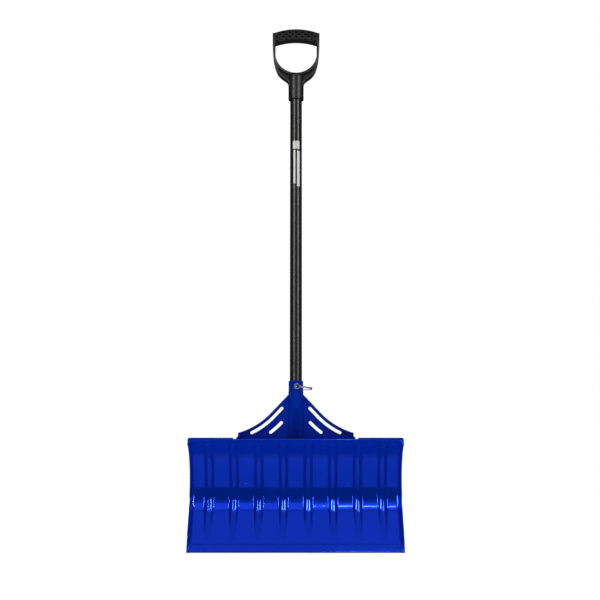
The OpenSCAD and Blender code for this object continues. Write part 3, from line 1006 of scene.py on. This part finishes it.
def yoke_plastic():
    """Semi-gloss blue moulding with a fine spark-eroded grain."""
    look = Look("yoke_plastic", ior=1.9, coat_weight=0.05, coat_roughness=0.15)
    look.shader.inputs["Specular Tint"].default_value = (0.0, 0.03, 1.0, 1)
    colour = look.mix(look.spread(look.noise(11, 3), 0.35, 0.65, 0, 1),
                      (0.0, 0.030, 0.38), (0.0, 0.036, 0.46))
    roughness = look.spread(look.noise(70, 3), 0.3, 0.7, 0.24, 0.34)
    return look.done(colour, roughness, look.bump(look.noise(2400, 3), 0.02))


def rivet_paint():
    look = Look("rivet_paint", ior=2.4, coat_weight=0.1, coat_roughness=0.1)
    look.shader.inputs["Specular Tint"].default_value = (0.0, 0.03, 1.0, 1)
    colour = look.mix(look.noise(180, 4), (0.0, 0.022, 0.22), (0.002, 0.036, 0.30))
    roughness = look.spread(look.noise(400, 3), 0.3, 0.7, 0.16, 0.3)
    return look.done(colour, roughness, look.bump(look.noise(900, 3), 0.015))


def plated_steel(name, first, second, rough, streak):
    """Bright plated steel with faint drawing marks."""
    look = Look(name, metallic=1.0)
    colour = look.mix(look.spread(look.noise(240, 4), 0.35, 0.65, 0, 1), first, second)
    marks = look.noise(1800, 2, streak)
    roughness = look.spread(marks, 0.3, 0.7, rough - 0.06, rough + 0.08)
    return look.done(colour, roughness, look.bump(marks, 0.01))


def shaft_coating():
    """Gloss black powder coat with plain white printed stripes on its front."""
    look = Look("shaft_coating", specular_ior_level=0.12)
    axis = look.axes()
    prints = []
    for left, right, low, high in STRIPES:
        across = look.math("COMPARE", axis["X"], (left + right) / 2 * MM, (right - left) / 2 * MM)
        along = look.math("COMPARE", axis["Z"], (low + high) / 2 * MM, (high - low) / 2 * MM)
        prints.append(look.math("MULTIPLY", across, along))
    ink = prints[0]
    for part in prints[1:]:
        ink = look.math("MAXIMUM", ink, part)
    ink = look.math("MULTIPLY", ink, look.math("LESS_THAN", axis["Y"], SHAFT_Y * MM))
    ink = look.math("MULTIPLY", ink, look.spread(look.noise(900, 4), 0.3, 0.42, 0.55, 0.95))
    coat = look.mix(look.noise(30, 3), (0.010, 0.010, 0.010), (0.016, 0.016, 0.017))
    scuff = look.spread(look.noise(300, 3, (1, 1, 0.08)), 0.64, 0.75, 0, 0.25)
    coat = look.mix(scuff, coat, (0.06, 0.06, 0.06))
    colour = look.mix(ink, coat, (0.78, 0.77, 0.74))
    roughness = look.spread(look.noise(120, 3), 0.3, 0.7, 0.24, 0.34)
    return look.done(colour, roughness, look.bump(look.noise(520, 2), 0.003))


def grip_plastic():
    """Satin black moulding with a leathery spark-eroded texture."""
    look = Look("grip_plastic", specular_ior_level=0.13)
    colour = look.mix(look.noise(60, 4), (0.005, 0.0048, 0.0046), (0.011, 0.0105, 0.010))
    roughness = look.spread(look.noise(140, 3), 0.3, 0.7, 0.36, 0.50)
    grain = look.bump(look.noise(1300, 3), 0.025)
    return look.done(colour, roughness, look.bump(look.noise(3800, 2), 0.008, grain))


def finish_piece(piece, body, node, look, angle=35):
    piece.data.materials.clear()
    piece.data.materials.append(look)
    shade(piece, angle)
    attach(piece, body)
    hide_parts(node)
    return piece


# ---- Stage ----

CAMERA_BACK = 2.649
CAMERA_RIGHT = 0.0109
CAMERA_HEIGHT = 0.2685
CAMERA_UP = math.radians(8.2)
# Brightness of the surround at heights over the horizon, in degrees
SKY = ((-90, 0.15), (-80, 0.3), (-66, 0.9), (2.5, 0.9), (4.5, 0.03), (25, 0.03), (30, 0.95),
       (44, 0.95), (50, 1.3), (90, 1.3))
# The surround grows dark to the sides between these angles, later overhead and underfoot
SIDE_DIM = (32, 52)
OVERHEAD, UNDERFOOT = 0.4, 0.7
SIDE_LEVEL = 0.08
FLOOR_GLOW = 0.82
GLOSSY_PIECES = ("scoop_blade", "blade_rivets")
BLUE_PIECES = GLOSSY_PIECES + ("socket_yoke",)
DARK_PIECES = ("tube_shaft", "d_handle")


def make_camera():
    camera = bpy.data.objects.new("camera", bpy.data.cameras.new("camera"))
    bpy.context.scene.collection.objects.link(camera)
    camera.data.lens = 60
    camera.data.sensor_width = 36
    camera.location = (CAMERA_RIGHT, SHAFT_Y * MM - CAMERA_BACK, CAMERA_HEIGHT)
    camera.rotation_euler = (math.pi / 2 + CAMERA_UP, 0, 0)
    bpy.context.scene.camera = camera


def soft_light(name, azimuth, distance, height, size, radiance, only=None,
               fill=False):
    """A panel at a compass angle from the front, turned to the object, for some pieces only."""
    data = bpy.data.lights.new(name, "AREA")
    data.shape = "RECTANGLE"
    data.size, data.size_y = size
    data.energy = math.pi * size[0] * size[1] * radiance
    lamp = bpy.data.objects.new(name, data)
    bpy.context.scene.collection.objects.link(lamp)
    turn = math.radians(azimuth)
    away = Vector((math.sin(turn), -math.cos(turn), 0)) * distance
    lamp.location = away + Vector((0, 0, height))
    lamp.rotation_euler = (-away + Vector((0, 0, 0.35 - height))).to_track_quat("-Z", "Y").to_euler()
    lamp.visible_camera = False
    lamp.visible_diffuse = fill
    lamp.visible_glossy = not fill
    if only:
        lit = bpy.data.collections.new(name + "_lit")
        for piece in only:
            lit.objects.link(bpy.data.objects[piece])
        lamp.light_linking.receiver_collection = lit
    return lamp


def make_world():
    """White behind the object; for light, a pale ceiling over a dim surround."""
    world = bpy.data.worlds.new("studio")
    bpy.context.scene.world = world
    world.use_nodes = True
    nodes, links = world.node_tree.nodes, world.node_tree.links
    light = nodes["Background"]
    sky = nodes.new("ShaderNodeSeparateXYZ")
    links.new(nodes.new("ShaderNodeTexCoord").outputs["Generated"], sky.inputs[0])
    bands = nodes.new("ShaderNodeValToRGB")
    ramp_stops = bands.color_ramp
    ramp_stops.elements.remove(ramp_stops.elements[0])
    for k, (angle, value) in enumerate(SKY):
        stop = ramp_stops.elements[0] if k == 0 else ramp_stops.elements.new(1)
        stop.position = (1 + math.sin(math.radians(angle))) / 2
        stop.color = (value, value, value, 1)
    def worked_out(operation, *values):
        node = nodes.new("ShaderNodeMath")
        node.operation = operation
        for k, value in enumerate(values):
            if isinstance(value, bpy.types.NodeSocket):
                links.new(value, node.inputs[k])
            else:
                node.inputs[k].default_value = value
        return node.outputs[0]

    links.new(worked_out("MULTIPLY_ADD", sky.outputs["Z"], 0.5, 0.5), bands.inputs[0])
    steep = worked_out("MAXIMUM", worked_out("MULTIPLY", sky.outputs["Z"], OVERHEAD),
                       worked_out("MULTIPLY", sky.outputs["Z"], -UNDERFOOT))
    facing = nodes.new("ShaderNodeMapRange")
    facing.interpolation_type = "SMOOTHSTEP"
    links.new(worked_out("SUBTRACT", steep, sky.outputs["Y"]), facing.inputs[0])
    dim, full = (math.cos(math.radians(a)) for a in SIDE_DIM[::-1])
    for k, value in zip((1, 2, 3, 4), (dim, full, SIDE_LEVEL, 1.0)):
        facing.inputs[k].default_value = value
    links.new(worked_out("MULTIPLY", bands.outputs[0], facing.outputs[0]),
              light.inputs["Strength"])
    light.inputs["Color"].default_value = (1, 1, 1, 1)
    backdrop = nodes.new("ShaderNodeBackground")
    backdrop.inputs["Color"].default_value = (1, 1, 1, 1)
    mix = nodes.new("ShaderNodeMixShader")
    links.new(nodes.new("ShaderNodeLightPath").outputs["Is Camera Ray"], mix.inputs[0])
    links.new(light.outputs[0], mix.inputs[1])
    links.new(backdrop.outputs[0], mix.inputs[2])
    links.new(mix.outputs[0], nodes["World Output"].inputs["Surface"])


def make_floor():
    """A pale floor, bright enough to meet the white backdrop without a line."""
    mesh = bpy.data.meshes.new("floor")
    half = 14
    mesh.from_pydata([(-half, -half, 0), (half, -half, 0), (half, half, 0), (-half, half, 0)],
                     [], [(0, 1, 2, 3)])
    floor = link("floor", mesh)
    look = bpy.data.materials.new("floor")
    look.use_nodes = True
    shader = look.node_tree.nodes["Principled BSDF"]
    shader.inputs["Base Color"].default_value = (0.8, 0.8, 0.8, 1)
    shader.inputs["Roughness"].default_value = 1.0
    shader.inputs["Specular IOR Level"].default_value = 0.0
    shader.inputs["Emission Color"].default_value = (1, 1, 1, 1)
    shader.inputs["Emission Strength"].default_value = FLOOR_GLOW
    mesh.materials.append(look)
    floor.visible_glossy = False


def make_stage():
    make_floor()
    make_world()
    soft_light("left_panel", -37, 1.55, 0.9, (0.14, 0.50), 140, GLOSSY_PIECES)
    soft_light("right_panel", 42, 1.55, 0.9, (0.14, 0.50), 140, GLOSSY_PIECES)
    soft_light("left_strip", -37, 1.55, 1.2, (0.2, 1.7), 68, DARK_PIECES)
    soft_light("right_strip", 46, 1.55, 1.2, (0.2, 1.7), 68, DARK_PIECES)
    soft_light("band_strip", 0, 1.5, 1.29, (1.2, 0.38), 1.4, GLOSSY_PIECES)
    soft_light("band_spot", 11, 1.5, 1.27, (0.34, 0.05), 60, GLOSSY_PIECES)
    soft_light("back_left", -150, 1.9, 1.6, (0.5, 0.9), 3, BLUE_PIECES)
    soft_light("back_right", 150, 1.9, 1.6, (0.5, 0.9), 3, BLUE_PIECES)
    soft_light("back_fill", 180, 2.2, 1.3, (2.0, 1.6), 2.2, fill=True)


zinc = plated_steel("zinc_steel", (0.48, 0.48, 0.46), (0.60, 0.59, 0.57), 0.28, (1, 0.05, 1))
wire = plated_steel("wire_steel", (0.44, 0.43, 0.41), (0.56, 0.55, 0.53), 0.20, (0.05, 1, 1))
finish_piece(make_blade(), "shovel", "blade", blade_plastic())
finish_piece(make_yoke(), "shovel", "yoke", yoke_plastic())
finish_piece(make_rivets(), "shovel", "yoke_rivets", rivet_paint())
finish_piece(make_washers(), "shovel", "rivet_washers", zinc)
finish_piece(make_shaft(), "shovel", "shaft", shaft_coating())
finish_piece(make_grip(), "shovel", "d_grip", grip_plastic())
finish_piece(make_screw(), "shovel", "grip_screw", zinc)
finish_piece(make_pin(), "lock_pin", "lock_pin", zinc)
finish_piece(make_bail(), "pin_bail", "pin_bail", wire)
make_camera()
make_stage()
bpy.context.scene.view_settings.view_transform = "Standard"
